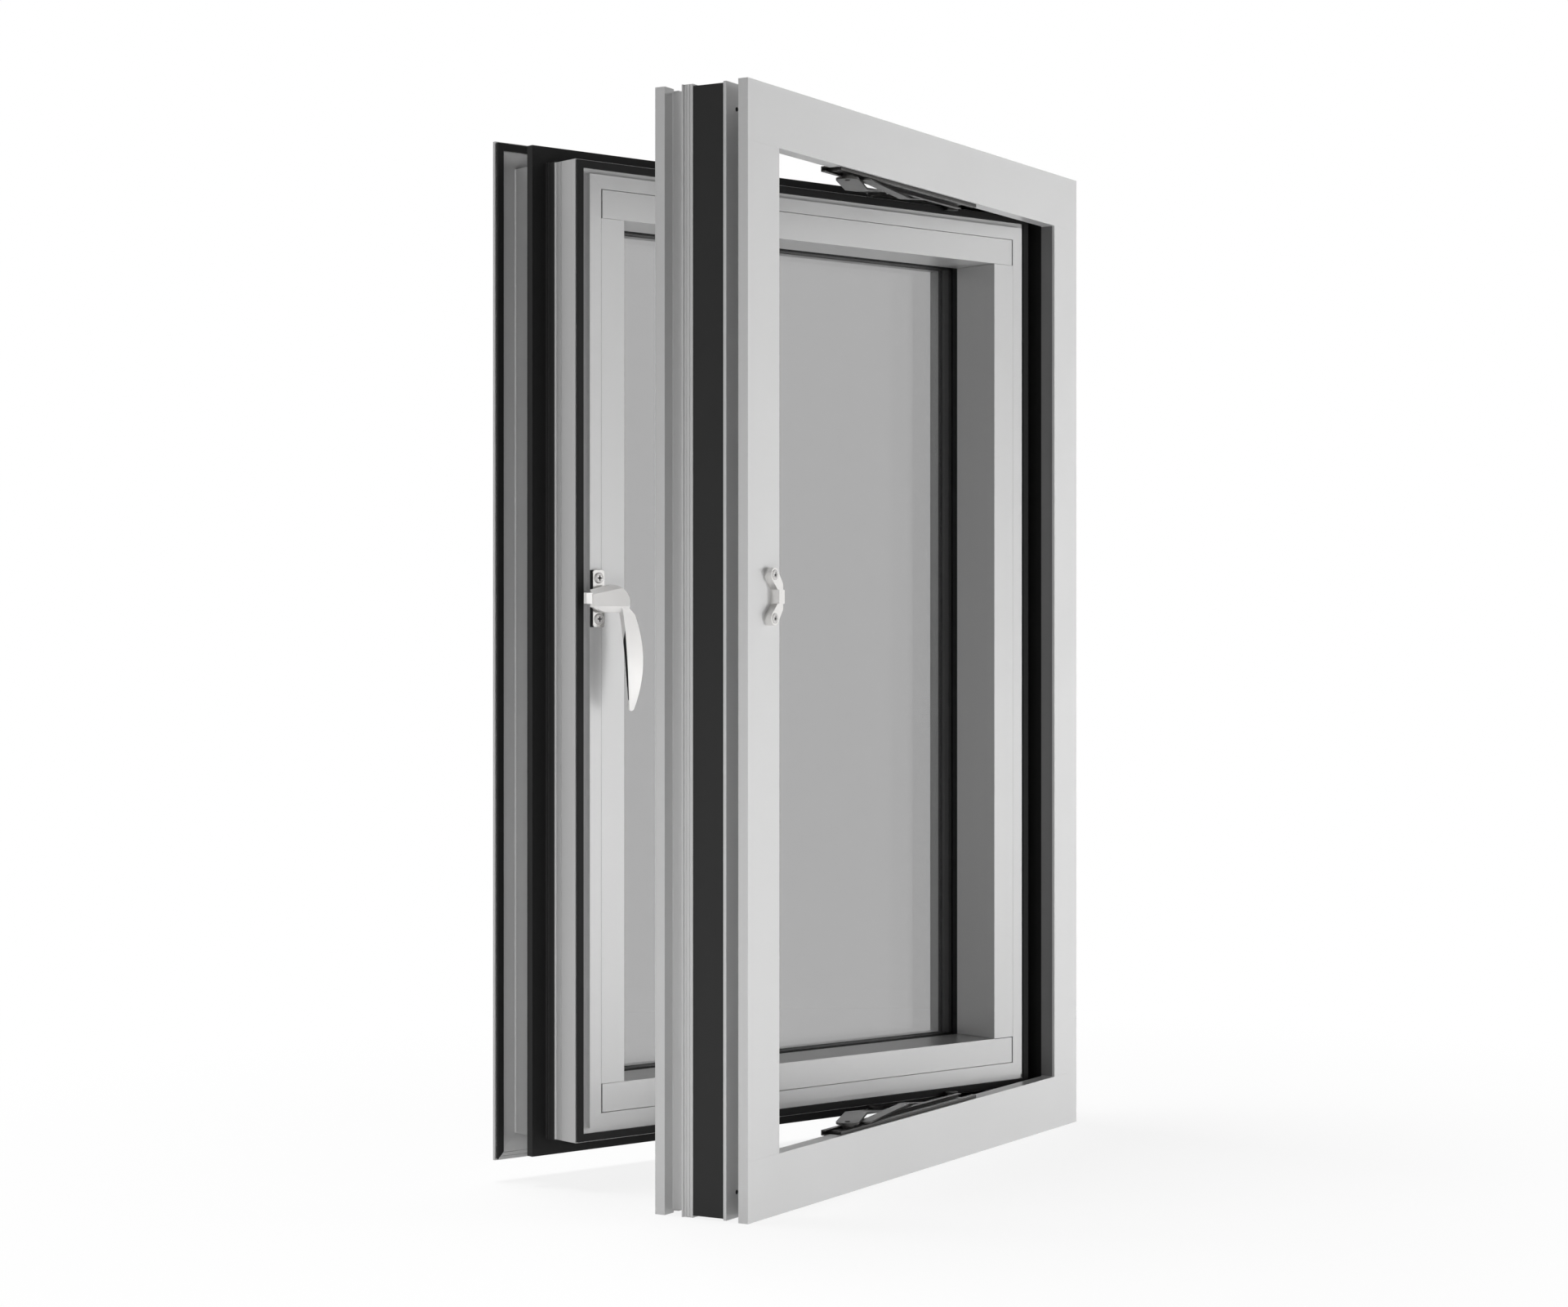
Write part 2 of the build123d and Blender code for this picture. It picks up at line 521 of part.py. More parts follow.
def lever():
    """Hanging lever: straight then drawn in at the lock side, bowed at the other, thin at the tip."""
    root = -LEVER_TOP / 3
    middle = -LEVER_DROP * 0.55
    tip_z = LEVER_TIP_R - LEVER_DROP
    left_tip = (LEVER_TIP_X - LEVER_TIP_R, tip_z)
    right_tip = (LEVER_TIP_X + LEVER_TIP_R, tip_z)
    left_bend = (LEVER_LEFT, -LEVER_DROP * 0.4)
    left_bow = (LEVER_LEFT + LEVER_TIP_R * 0.55, -LEVER_DROP * 0.72)
    front = Line((LEVER_LEFT, root), left_bend) + ThreePointArc(left_bend, left_bow, left_tip)
    front += ThreePointArc(left_tip, (LEVER_TIP_X, -LEVER_DROP), right_tip)
    front += ThreePointArc(right_tip, (LEVER_RIGHT, middle), (LEVER_TOP_RIGHT, -LEVER_TOP))
    front += Line((LEVER_TOP_RIGHT, -LEVER_TOP), (CRANK_RIGHT, -LEVER_TOP / 2))
    front += Line((CRANK_RIGHT, -LEVER_TOP / 2), (CRANK_RIGHT, root))
    front += Line((CRANK_RIGHT, root), (LEVER_LEFT, root))
    root_back = LEVER_ROOT_OUT - LEVER_ROOT_T
    tip_back = LEVER_TIP_OUT - LEVER_TIP_T
    side = ThreePointArc((LEVER_ROOT_OUT, root), (LEVER_OUT, middle), (LEVER_TIP_OUT, -LEVER_DROP))
    side += Line((LEVER_TIP_OUT, -LEVER_DROP), (tip_back, -LEVER_DROP))
    side += ThreePointArc((tip_back, -LEVER_DROP), (LEVER_OUT - LEVER_T, middle), (root_back, root))
    side += Line((root_back, root), (LEVER_ROOT_OUT, root))
    side_plane = Plane(origin=(0, 0, 0), x_dir=(0, -1, 0), z_dir=(-1, 0, 0))
    thickness = extrude(side_plane * make_face(side), amount=2 * LEVER_RIGHT, both=True)
    return thickness & extrude(Plane.XZ * make_face(front), amount=2 * LEVER_OUT)


def cam_handle():
    """Handle with a tongue to the left, a slanting crank over the pivot and a hanging lever."""
    start = PAD_T + BASE_T + HUB_H + HANDLE_LIFT
    tongue = Pos(-TONGUE_REACH / 2, -start - TONGUE_T / 2, 0) * Box(TONGUE_REACH, TONGUE_T, TONGUE_H)
    handle = crank(start) + lever() + tongue
    bore_len = PIVOT_LEN + HANDLE_LIFT
    bore = Pos(0, -start - bore_len / 2, 0) * Rot(90, 0, 0) * Cylinder(PIVOT_D / 2 + PIVOT_PLAY, bore_len)
    return handle - bore


def keeper():
    """Keeper: two lugs on the jamb with a raised bridge between them, open to the sash for the tongue."""
    bridge_w = BRIDGE_RIGHT - BRIDGE_LEFT
    middle = (BRIDGE_LEFT + BRIDGE_RIGHT) / 2
    knee = Pos(BRIDGE_RIGHT - KEEPER_ARM_R, KEEPER_ARM_H - KEEPER_ARM_R) * Circle(KEEPER_ARM_R)
    foot = Pos(middle, BRIDGE_H / 2 + OVERRUN / 2) * Rectangle(bridge_w, OVERRUN)
    lug = Pos(KEEPER_FROM_EDGE, KEEPER_SCREWS / 2) * Circle(KEEPER_LUG_R)
    arm = extrude(Plane.XZ * make_hull((lug + knee + foot).edges()), amount=KEEPER_T)
    body = Pos(middle, -BRIDGE_OUT / 2, 0) * Box(bridge_w, BRIDGE_OUT, BRIDGE_H)
    body += arm + mirror(arm, about=Plane.XY)
    slot_t = BRIDGE_OUT - BRIDGE_T
    slot = Pos(BRIDGE_LEFT + WALL + bridge_w / 2, -slot_t / 2, 0) * Box(bridge_w, slot_t, BRIDGE_H)
    return body - slot


def write_nodes(nodes):
    """One file for each named piece."""
    os.makedirs("parts", exist_ok=True)
    for name, shape in nodes.items():
        export_step(shape, os.path.join("parts", name + ".step"))


def main():
    nodes = {}
    for group in (frame_interior(), frame_exterior(), frame_break()):
        for name, shape in group.items():
            nodes[name] = FRAME_PLACE * shape

    sides = {"top": "top_rail", "bottom": "bottom_rail", "left": "lock_stile", "right": "hinge_stile"}
    sash = {"sash_thermal_break": sash_break(), "sash_centre_gasket": centre_gasket()}
    for half, members in (("interior", sash_interior()), ("exterior", sash_exterior())):
        for side, word in sides.items():
            sash["sash_" + half + "_" + word] = members[side]
    for group in (glazing_beads(), glazing(), sash_seals()):
        sash.update(group)
    handle_place = Pos(HANDLE_FROM_EDGE - SASH_W / 2, 0, HANDLE_ABOVE_MIDDLE)
    for name, shape in handle_base().items():
        sash[name] = handle_place * shape
    sash["cam_handle"] = handle_place * cam_handle()
    for name, shape in sash.items():
        nodes[name] = SASH_PLACE * shape

    for name, shape in friction_stay().items():
        nodes["top_" + name] = shape
        nodes["bottom_" + name] = mirror(shape, about=Plane.XY.offset(MIDDLE_Z))
    keeper_z = MIDDLE_Z + HANDLE_ABOVE_MIDDLE - KEEPER_DROP
    nodes["keeper"] = Pos(-FRAME_W / 2, -MOUNT_Y, keeper_z) * keeper()
    write_nodes(nodes)


main()
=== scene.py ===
# Looks of the aluminium casement window: finishes, screws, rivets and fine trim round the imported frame.
import bpy
import bmesh
import json
from math import cos, pi, radians, sin, sqrt
from mathutils import Matrix, Vector


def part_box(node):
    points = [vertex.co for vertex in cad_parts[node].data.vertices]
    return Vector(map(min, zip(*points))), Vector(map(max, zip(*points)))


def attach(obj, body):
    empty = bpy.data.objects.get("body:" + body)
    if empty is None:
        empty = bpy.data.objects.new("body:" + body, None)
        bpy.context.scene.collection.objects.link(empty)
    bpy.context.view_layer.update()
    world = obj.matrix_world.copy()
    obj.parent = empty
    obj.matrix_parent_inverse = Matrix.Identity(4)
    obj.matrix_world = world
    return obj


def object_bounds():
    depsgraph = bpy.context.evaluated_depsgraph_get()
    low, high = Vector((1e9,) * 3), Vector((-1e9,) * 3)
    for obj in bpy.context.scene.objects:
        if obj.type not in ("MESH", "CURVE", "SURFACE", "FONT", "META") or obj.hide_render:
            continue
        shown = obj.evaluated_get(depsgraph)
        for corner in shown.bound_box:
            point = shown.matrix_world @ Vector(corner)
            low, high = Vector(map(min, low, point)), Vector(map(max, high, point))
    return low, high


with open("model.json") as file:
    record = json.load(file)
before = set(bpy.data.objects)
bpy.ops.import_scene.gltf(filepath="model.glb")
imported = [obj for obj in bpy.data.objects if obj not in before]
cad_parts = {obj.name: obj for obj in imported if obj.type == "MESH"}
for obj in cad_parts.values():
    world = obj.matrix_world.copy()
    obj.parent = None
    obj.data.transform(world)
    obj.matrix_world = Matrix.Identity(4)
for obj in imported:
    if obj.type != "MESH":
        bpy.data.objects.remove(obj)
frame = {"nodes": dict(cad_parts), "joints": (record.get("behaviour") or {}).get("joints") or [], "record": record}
NODES = frame["nodes"]
RECORD = frame["record"]
CAD_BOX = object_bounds()

MM = 0.001
FIXED = "window"
TURNING = "handle"
UP = Vector((0, 0, 1))
INDOORS = Vector((0, -1, 0))

# Photograph's camera: level, at mid height, turned about 60 degrees to the frame's face
IMAGE_W = 1920
FOCAL_PX = 3733.0
SENSOR = 36.0
CAMERA_AT = Vector((-3.138, -1.6526, 0.5971))
CAMERA_TURN = radians(-59.6)
CLIP_END = 100

# Sash pose, from the handle's hinge axis, which is square to the sash's face
HINGE = frame["joints"][0]
PIVOT = Vector(HINGE["pos_m"])
INWARD = Vector(HINGE["axis"]).normalized()
ALONG = Vector((-INWARD.y, INWARD.x, 0.0))
SASH_TURN = INWARD.to_track_quat("Y", "Z").to_euler().z

# Screws and rivets, in millimetres
BASE_SCREW_R = 6.1
BASE_SCREW_H = 1.9
BASE_SCREWS = 45.6
BASE_FRONT = 6.1
KEEPER_SCREW_R = 5.6
KEEPER_SCREW_H = 0.9
KEEPER_SCREWS = 46.0
KEEPER_LUG_IN = 7.7
KEEPER_T = 9.0
CORNER_SCREW_R = 2.4
CORNER_SCREW_H = 1.0
CORNER_SCREW_IN = 22.0
CORNER_SCREW_DOWN = 28.0
CHANNEL_WALL = 27.0
STAY_RIVET_R = 3.2
STAY_RIVET_H = 1.0

# Their heads, in shares of the radius and of the height, from the foot up
SCREW_SEGMENTS = 32
SCREW_PROFILE = ((1.0, -0.3), (1.0, 0.45), (0.93, 0.75), (0.8, 0.93), (0.64, 1.0))
CROSS_REACH = 0.5
CROSS_HALF_W = 0.12
CROSS_FLOOR_REACH = 0.4
CROSS_FLOOR_HALF_W = 0.1
CROSS_FLOOR_H = 0.15
DOME_SEGMENTS = 20
DOME_PROFILE = ((1.0, -0.5), (1.0, 0.2), (0.8, 0.7), (0.45, 0.95))

# Lever, in millimetres from the pivot: left edge, then front and back edges seen from the side
LEVER_LEFT = ((16.4, -50.0), (18.38, -90.0), (22.4, -121.4))
LEVER_FRONT = ((26.5, -6.0), (36.5, -68.75), (32.0, -125.0))
LEVER_BACK = ((19.5, -6.0), (31.3, -68.75), (30.5, -125.0))

# Painted shade in the lever's hollow back, as a dark sheet, in millimetres: its heights, its margins to the
# lever's front and back edges, its least width, and how far it stands out of the lever and goes into it. The point
# is a share of the width.
SHADE_SHEET_TOP = -36.0
SHADE_SHEET_SHOULDER = -47.0
SHADE_SHEET_END = -113.0
SHADE_SHEET_FRONT_IN = 0.5
SHADE_SHEET_BACK_IN = 0.6
SHADE_SHEET_LEAST = 0.15
SHADE_SHEET_PROUD = 0.12
SHADE_SHEET_SUNK = 0.5
SHADE_SHEET_POINT = 0.05
SHADE_SHEET_STEPS = 24

# Fine strips. The plan outlines are in millimetres, on the sash from the pivot and on the frame from its
# outer edge and face. A row has a name, an outline, the trim of both ends, a material and a slot.
BODY_LOW = 51.9
BODY_HIGH = 1148.1
RECESS_TRIM = 4.0
SASH_STRIPS = (
    ("sash_recess_bead", ((-24.5, -118.3), (-26.2, -118.3), (-24.5, -116.6)),
     0.5, "sash_upright", "sash_aluminium"),
    ("ring_edge_bead", ((-23.2, -43.6), (-24.7, -43.6), (-23.2, -41.1)),
     1.4, "sash_upright", "sash_aluminium"),
    ("break_rib_outer", ((-24.6, -59.9), (-25.2, -59.9), (-25.2, -56.8), (-24.6, -56.8)),
     0.0, "rib", "thermal_break"),
    ("break_rib_inner", ((-24.6, -55.0), (-25.1, -55.0), (-25.1, -52.8), (-24.6, -52.8)),
     0.0, "rib", "thermal_break"),
)
FRAME_BEAD = ((16.4, 103.6), (14.8, 103.6), (16.4, 102.0))

# Liners of the head and sill, beside the track, in millimetres from the frame's outer edge and face
LINER_EDGE = 64.7
LINER_BACK = 62.4
LINER_FRONT = 3.3
LINER_END = 18.4
LINER_RUNS = (("left", 62.4, 206.8), ("right", 537.2, 749.6))

# Painted shadow in the joint under the hinge-side bead, in millimetres from the pivot
JOINT_PLAN = ((621.0, 0.06), (653.2, 0.06), (653.2, -0.5), (621.0, -0.5))
JOINT_HEIGHTS = (-541.7, -540.9)


def slot_of(node):
    """Material slot that the record gives to a node."""
    for entry in RECORD["subparts"]:
        if entry["node"] == node:
            return entry["material_slot"]
    return None


# Materials. Noise is used between a low and a high value. Drift is how far a tone wanders, as a share of it,
# uneven is how far the roughness does, and depth is the height of the relief in metres.
NOISE_LOW = 0.3
NOISE_HIGH = 0.7
ALU_TONE = (0.575, 0.575, 0.575)
SASH_TONE = (0.515, 0.515, 0.515)
ALU_METAL = 0.28
ALU_ROUGH = 0.3
ALU_SPECULAR = 0.3
ALU_LINES = 900
ALU_CLOUD = 5
ALU_GRAIN = 1400
ALU_DRIFT = 0.015
ALU_UNEVEN = 0.008
ALU_RELIEF = 0.02
ALU_DEPTH = 0.00005
ALONG_Z = (1, 1, 0.004)
ALONG_X = (0.004, 1, 1)
PLAIN_CLOUD = 20
PLAIN_DRIFT = 0.03
PLAIN_UNEVEN = 0.03
PLAIN_DEPTH = 0.0003
GLASS_IOR = 1.45
GLASS_CLOUD = 12
GLASS_UNEVEN = 0.004
GLASS_WAVES = 1.5
GLASS_RELIEF = 0.002
GLASS_DEPTH = 0.0001

# Painted shade on the right jamb's inner side: its dark tone, the plane that it lies beyond, and how squarely it
# faces the lock
INNER_SHADE_TONE = (0.17, 0.17, 0.17)
INNER_SIDE_X = 0.3425
INNER_FACING = -0.5


def new_material(name):
    """Empty node material with its shader: returns the material, its node tree and the shader."""
    material = bpy.data.materials.new(name)
    material.use_nodes = True
    tree = material.node_tree
    shader = tree.nodes["Principled BSDF"]
    return material, tree, shader


def noise(tree, scale, detail=3, stretch=(1, 1, 1), turn=0.0):
    """Noise over the object's own coordinates, stretched along its axes and turned about Z."""
    coords = tree.nodes.new("ShaderNodeTexCoord")
    mapping = tree.nodes.new("ShaderNodeMapping")
    texture = tree.nodes.new("ShaderNodeTexNoise")
    mapping.inputs["Scale"].default_value = stretch
    mapping.inputs["Rotation"].default_value = (0, 0, turn)
    texture.inputs["Scale"].default_value = scale
    texture.inputs["Detail"].default_value = detail
    tree.links.new(coords.outputs["Object"], mapping.inputs["Vector"])
    tree.links.new(mapping.outputs["Vector"], texture.inputs["Vector"])
    return texture.outputs["Fac"]


def spread(tree, source, low, high):
    """Maps a noise value onto a range."""
    node = tree.nodes.new("ShaderNodeMapRange")
    node.inputs["From Min"].default_value = NOISE_LOW
    node.inputs["From Max"].default_value = NOISE_HIGH
    node.inputs["To Min"].default_value = low
    node.inputs["To Max"].default_value = high
    tree.links.new(source, node.inputs["Value"])
    return node.outputs["Result"]


def tint(tree, source, tone, drift):
    """Colour that wanders a little to either side of a tone."""
    dark = [c * (1 - drift) for c in tone]
    light = [min(1.0, c * (1 + drift)) for c in tone]
    ramp = tree.nodes.new("ShaderNodeValToRGB")
    ramp.color_ramp.elements[0].position = NOISE_LOW
    ramp.color_ramp.elements[1].position = NOISE_HIGH
    ramp.color_ramp.elements[0].color = (*dark, 1)
    ramp.color_ramp.elements[1].color = (*light, 1)
    tree.links.new(source, ramp.inputs["Fac"])
    return ramp.outputs["Color"]


def bump(tree, shader, source, strength, distance):
    """Fine relief from a noise value."""
    node = tree.nodes.new("ShaderNodeBump")
    node.inputs["Strength"].default_value = strength
    node.inputs["Distance"].default_value = distance
    tree.links.new(source, node.inputs["Height"])
    tree.links.new(node.outputs["Normal"], shader.inputs["Normal"])


def aluminium(name, stretch, turn, tone):
    """Satin anodised aluminium with faint drawing lines along the profile."""
    material, tree, shader = new_material(name)
    shader.inputs["Metallic"].default_value = ALU_METAL
    shader.inputs["Specular IOR Level"].default_value = ALU_SPECULAR
    lines = noise(tree, ALU_LINES, stretch=stretch, turn=turn)
    cloud = noise(tree, ALU_CLOUD)
    grain = noise(tree, ALU_GRAIN, detail=2)
    gloss = spread(tree, lines, ALU_ROUGH - ALU_UNEVEN, ALU_ROUGH + ALU_UNEVEN)
    tree.links.new(tint(tree, cloud, tone, ALU_DRIFT), shader.inputs["Base Color"])
    tree.links.new(gloss, shader.inputs["Roughness"])
    bump(tree, shader, grain, ALU_RELIEF, ALU_DEPTH)
    return material


def plain(name, tone, rough, grain_scale, relief, metallic=0.0, specular=0.5):
    """Moulded or sheet material with a wandering tone, uneven gloss and a fine grain."""
    material, tree, shader = new_material(name)
    shader.inputs["Metallic"].default_value = metallic
    shader.inputs["Specular IOR Level"].default_value = specular
    cloud = noise(tree, PLAIN_CLOUD)
    grain = noise(tree, grain_scale)
    gloss = spread(tree, cloud, rough - PLAIN_UNEVEN, rough + PLAIN_UNEVEN)
    tree.links.new(tint(tree, cloud, tone, PLAIN_DRIFT), shader.inputs["Base Color"])
    tree.links.new(gloss, shader.inputs["Roughness"])
    bump(tree, shader, grain, relief, PLAIN_DEPTH)
    return material


def glass(name, tone):
    """Clear tinted pane with a trace of unevenness."""
    material, tree, shader = new_material(name)
    shader.inputs["Base Color"].default_value = (*tone, 1)
    shader.inputs["Transmission Weight"].default_value = 1.0
    shader.inputs["IOR"].default_value = GLASS_IOR
    haze = noise(tree, GLASS_CLOUD, detail=2)
    waves = noise(tree, GLASS_WAVES, detail=1)
    tree.links.new(spread(tree, haze, 0.0, GLASS_UNEVEN), shader.inputs["Roughness"])
    bump(tree, shader, waves, GLASS_RELIEF, GLASS_DEPTH)
    return material


def paint_shade_on_inner_side(material):
    """Paints shade on the side that faces the lock, beyond a plane, as a dark tone in the base colour."""
    tree = material.node_tree
    shader = tree.nodes["Principled BSDF"]
    coords = tree.nodes.new("ShaderNodeTexCoord")
    place = tree.nodes.new("ShaderNodeSeparateXYZ")
    face = tree.nodes.new("ShaderNodeSeparateXYZ")
    beyond = tree.nodes.new("ShaderNodeMath")
    facing = tree.nodes.new("ShaderNodeMath")
    both = tree.nodes.new("ShaderNodeMath")
    mix = tree.nodes.new("ShaderNodeMix")
    beyond.operation = "GREATER_THAN"
    facing.operation = "LESS_THAN"
    both.operation = "MULTIPLY"
    beyond.inputs[1].default_value = INNER_SIDE_X
    facing.inputs[1].default_value = INNER_FACING
    mix.data_type = "RGBA"
    mix.inputs["B"].default_value = (*INNER_SHADE_TONE, 1)
    tree.links.new(coords.outputs["Object"], place.inputs[0])
    tree.links.new(coords.outputs["Normal"], face.inputs[0])
    tree.links.new(place.outputs["X"], beyond.inputs[0])
    tree.links.new(face.outputs["X"], facing.inputs[0])
    tree.links.new(beyond.outputs[0], both.inputs[0])
    tree.links.new(facing.outputs[0], both.inputs[1])
    old = shader.inputs["Base Color"].links[0].from_socket
    tree.links.new(both.outputs[0], mix.inputs["Factor"])
    tree.links.new(old, mix.inputs["A"])
    tree.links.new(mix.outputs["Result"], shader.inputs["Base Color"])


# Finishes. A plain one has a tone, a roughness, the grain's scale and relief, and shares of metal and gloss.
MATERIALS = {
    "upright": aluminium("satin_aluminium_upright", ALONG_Z, 0.0, ALU_TONE),
    "level": aluminium("satin_aluminium_level", ALONG_X, 0.0, ALU_TONE),
    "sash_upright": aluminium("satin_aluminium_sash_upright", ALONG_Z, 0.0, SASH_TONE),
    "sash_level": aluminium("satin_aluminium_sash_level", ALONG_X, -SASH_TURN, SASH_TONE),
    "right_jamb": aluminium("satin_aluminium_jamb_painted_shade", ALONG_Z, 0.0, ALU_TONE),
    "thermal_break": plain("black_polyamide", (0.022, 0.022, 0.022), 0.6, 900, 0.1, 0.0, 0.25),
    # Lighter copy of the black polyamide for the ribs: painted sheen.
    "rib": plain("polyamide_painted_sheen", (0.035, 0.035, 0.035), 0.5, 900, 0.1, 0.0, 0.35),
    "gasket": plain("black_rubber", (0.010, 0.010, 0.010), 0.62, 1500, 0.1, 0.0, 0.25),
    "glass": glass("tinted_glass", (0.62, 0.62, 0.62)),
    "spacer": plain("dark_spacer", (0.05, 0.05, 0.05), 0.5, 800, 0.05, 0.0, 0.3),
    # The stays' steel has a dark tone that paints the dark reflections of polished steel; its edge copy is a
    # lighter tone, a painted highlight.
    "stay_steel": plain("stay_steel", (0.055, 0.054, 0.052), 0.30, 1200, 0.06, 0.85),
    "painted_edge_highlight": plain("painted_highlight_steel_rims", (0.45, 0.44, 0.43), 0.25, 1200, 0.06, 0.85),
    "handle_metal": plain("polished_metal", (0.78, 0.77, 0.755), 0.12, 300, 0.01, 0.9),
    "cam_metal": plain("polished_cam_metal", (0.78, 0.77, 0.76), 0.18, 300, 0.01, 0.15),
    "screw_metal": plain("screw_metal", (0.55, 0.54, 0.53), 0.26, 900, 0.04, 0.6),
    # Dark tone for painted shade in the screw recesses, the lever's hollow back and the bead joint, and for the
    # dark corner screw heads
    "painted_shade_and_dark_screws": plain("painted_shade_and_dark_screws", (0.012, 0.012, 0.012), 0.7, 600, 0.1, 0.0, 0.2),
}
# The right jamb's inner side gets painted shade.
paint_shade_on_inner_side(MATERIALS["right_jamb"])

# Nodes: words in the names of level profiles, and the round of the edges in millimetres
LEVEL_WORDS = ("head", "sill", "rail", "bead_top", "bead_bottom")
EDGE_ROUND = {"frame_aluminium": 0.12, "sash_aluminium": 0.12, "thermal_break": 0.1, "gasket": 0.3,
              "spacer": 0.1, "stay_steel": 0.4, "handle_metal": 0.5}
EDGE_SEGMENTS = 2
EDGE_ANGLE = 35
CRISP_ANGLE = 14
CRISP_SLOTS = ("stay_steel", "handle_metal")
CRISP_WEIGHT = 100
WELD_GAP = 0.00001


def finish_for(node):
    """Material of a CAD node: aluminium follows the way the profile was drawn."""
    slot = slot_of(node)
    # The right jamb takes the material with painted shade on its inner side.
    if node == "frame_interior_right_jamb":
        return MATERIALS["right_jamb"]
    if node == "cam_handle":
        return MATERIALS["cam_metal"]
    if slot not in ("frame_aluminium", "sash_aluminium"):
        return MATERIALS[slot]
    way = "level" if any(word in node for word in LEVEL_WORDS) else "upright"
    return MATERIALS[way if slot == "frame_aluminium" else "sash_" + way]


def dress_nodes():
    """Gives every CAD node its finish, and a small round on its edges, which on the stays carries a painted
    highlight.
    """
    for name, node in NODES.items():
        node.data.materials.clear()
        node.data.materials.append(finish_for(name))
        weld = node.modifiers.new("weld", "WELD")
        weld.merge_threshold = WELD_GAP
        slot = slot_of(name)
        if slot not in EDGE_ROUND or name.startswith("glazing_bead"):
            continue
        crisp = slot in CRISP_SLOTS
        round_edges = node.modifiers.new("edges", "BEVEL")
        round_edges.width = EDGE_ROUND[slot] * MM
        round_edges.segments = EDGE_SEGMENTS
        round_edges.limit_method = "ANGLE"
        round_edges.angle_limit = radians(CRISP_ANGLE if crisp else EDGE_ANGLE)
        round_edges.harden_normals = not crisp
        if crisp:
            flat_faces = node.modifiers.new("flat_faces", "WEIGHTED_NORMAL")
            flat_faces.weight = CRISP_WEIGHT
        # The stays' rounded edges take a lighter copy of the steel: painted highlight.
        if slot == "stay_steel":
            round_edges.material = len(node.data.materials)
            node.data.materials.append(MATERIALS["painted_edge_highlight"])


# Added pieces

def add_piece(name, bm, material, body):
    """Turns a finished mesh into a piece that rides on a body."""
    mesh = bpy.data.meshes.new(name)
    bmesh.ops.recalc_face_normals(bm, faces=bm.faces)
    bm.to_mesh(mesh)
    bm.free()
    piece = bpy.data.objects.new(name, mesh)
    mesh.materials.append(material)
    bpy.context.scene.collection.objects.link(piece)
    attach(piece, body)
    return piece


def facing_frame(place, facing):
    """Matrix that puts a piece's +Z along a direction, in millimetres, at a place in metres."""
    turn = facing.to_track_quat("Z", "Y").to_matrix().to_4x4()
    return Matrix.Translation(place) @ turn @ Matrix.Scale(MM, 4)


def ring_of(bm, radius, height, segments):
    """One level ring of points."""
    return [bm.verts.new((radius * cos(2 * pi * i / segments), radius * sin(2 * pi * i / segments), height))
            for i in range(segments)]


def bridge(bm, low, high):
    """Four-sided faces between two rings of the same count."""
    count = len(low)
    for i in range(count):
        bm.faces.new((low[i], low[(i + 1) % count], high[(i + 1) % count], high[i]))


def cross_ring(bm, reach, half_width, height):
    """Cross-shaped ring of points."""
    corner = [(reach, -half_width), (reach, half_width), (half_width, half_width)]
    points = []
    for quarter in range(4):
        c, s = cos(quarter * pi / 2), sin(quarter * pi / 2)
        points += [(c * x - s * y, s * x + c * y) for x, y in corner]
    return [bm.verts.new((x, y, height)) for x, y in points]


def ring_edges(bm, ring):
    """Closed chain of edges through a ring of points."""
    edges = []
    for i, vert in enumerate(ring):
        other = ring[(i + 1) % len(ring)]
        edges.append(bm.edges.get((vert, other)) or bm.edges.new((vert, other)))
    return edges


def cross_screw(name, radius, height, place, facing):
    """Low domed screw head with a cross recess, on the fixed part; the recess carries painted shade."""
    bm = bmesh.new()
    rings = [ring_of(bm, radius * r, height * h, SCREW_SEGMENTS) for r, h in SCREW_PROFILE]
    for low, high in zip(rings, rings[1:]):
        bridge(bm, low, high)
    rim = cross_ring(bm, radius * CROSS_REACH, radius * CROSS_HALF_W, height)
    bmesh.ops.triangle_fill(bm, use_beauty=True, edges=ring_edges(bm, rings[-1]) + ring_edges(bm, rim))
    head_faces = len(bm.faces)
    floor = cross_ring(bm, radius * CROSS_FLOOR_REACH, radius * CROSS_FLOOR_HALF_W, height * CROSS_FLOOR_H)
    bridge(bm, rim, floor)
    bm.faces.new(floor)
    bm.faces.ensure_lookup_table()
    # The recess's walls and floor take the dark tone: painted shade.
    for face in bm.faces[head_faces:]:
        face.material_index = 1
    bm.transform(facing_frame(place, facing))
    screw = add_piece(name, bm, MATERIALS["screw_metal"], FIXED)
    screw.data.materials.append(MATERIALS["painted_shade_and_dark_screws"])


def dome(name, radius, height, place, facing, material):
    """Small round head of a rivet or screw, on the fixed part."""
    bm = bmesh.new()
    rings = [ring_of(bm, radius * r, height * h, DOME_SEGMENTS) for r, h in DOME_PROFILE]
    for low, high in zip(rings, rings[1:]):
        bridge(bm, low, high)
    bm.faces.new(rings[-1])
    bm.transform(facing_frame(place, facing))
    add_piece(name, bm, material, FIXED)


def on_sash(along, out, up):
    """Point from the handle's pivot: along the sash, off its face and up, in millimetres."""
    return PIVOT + (ALONG * along + INWARD * out + UP * up) * MM


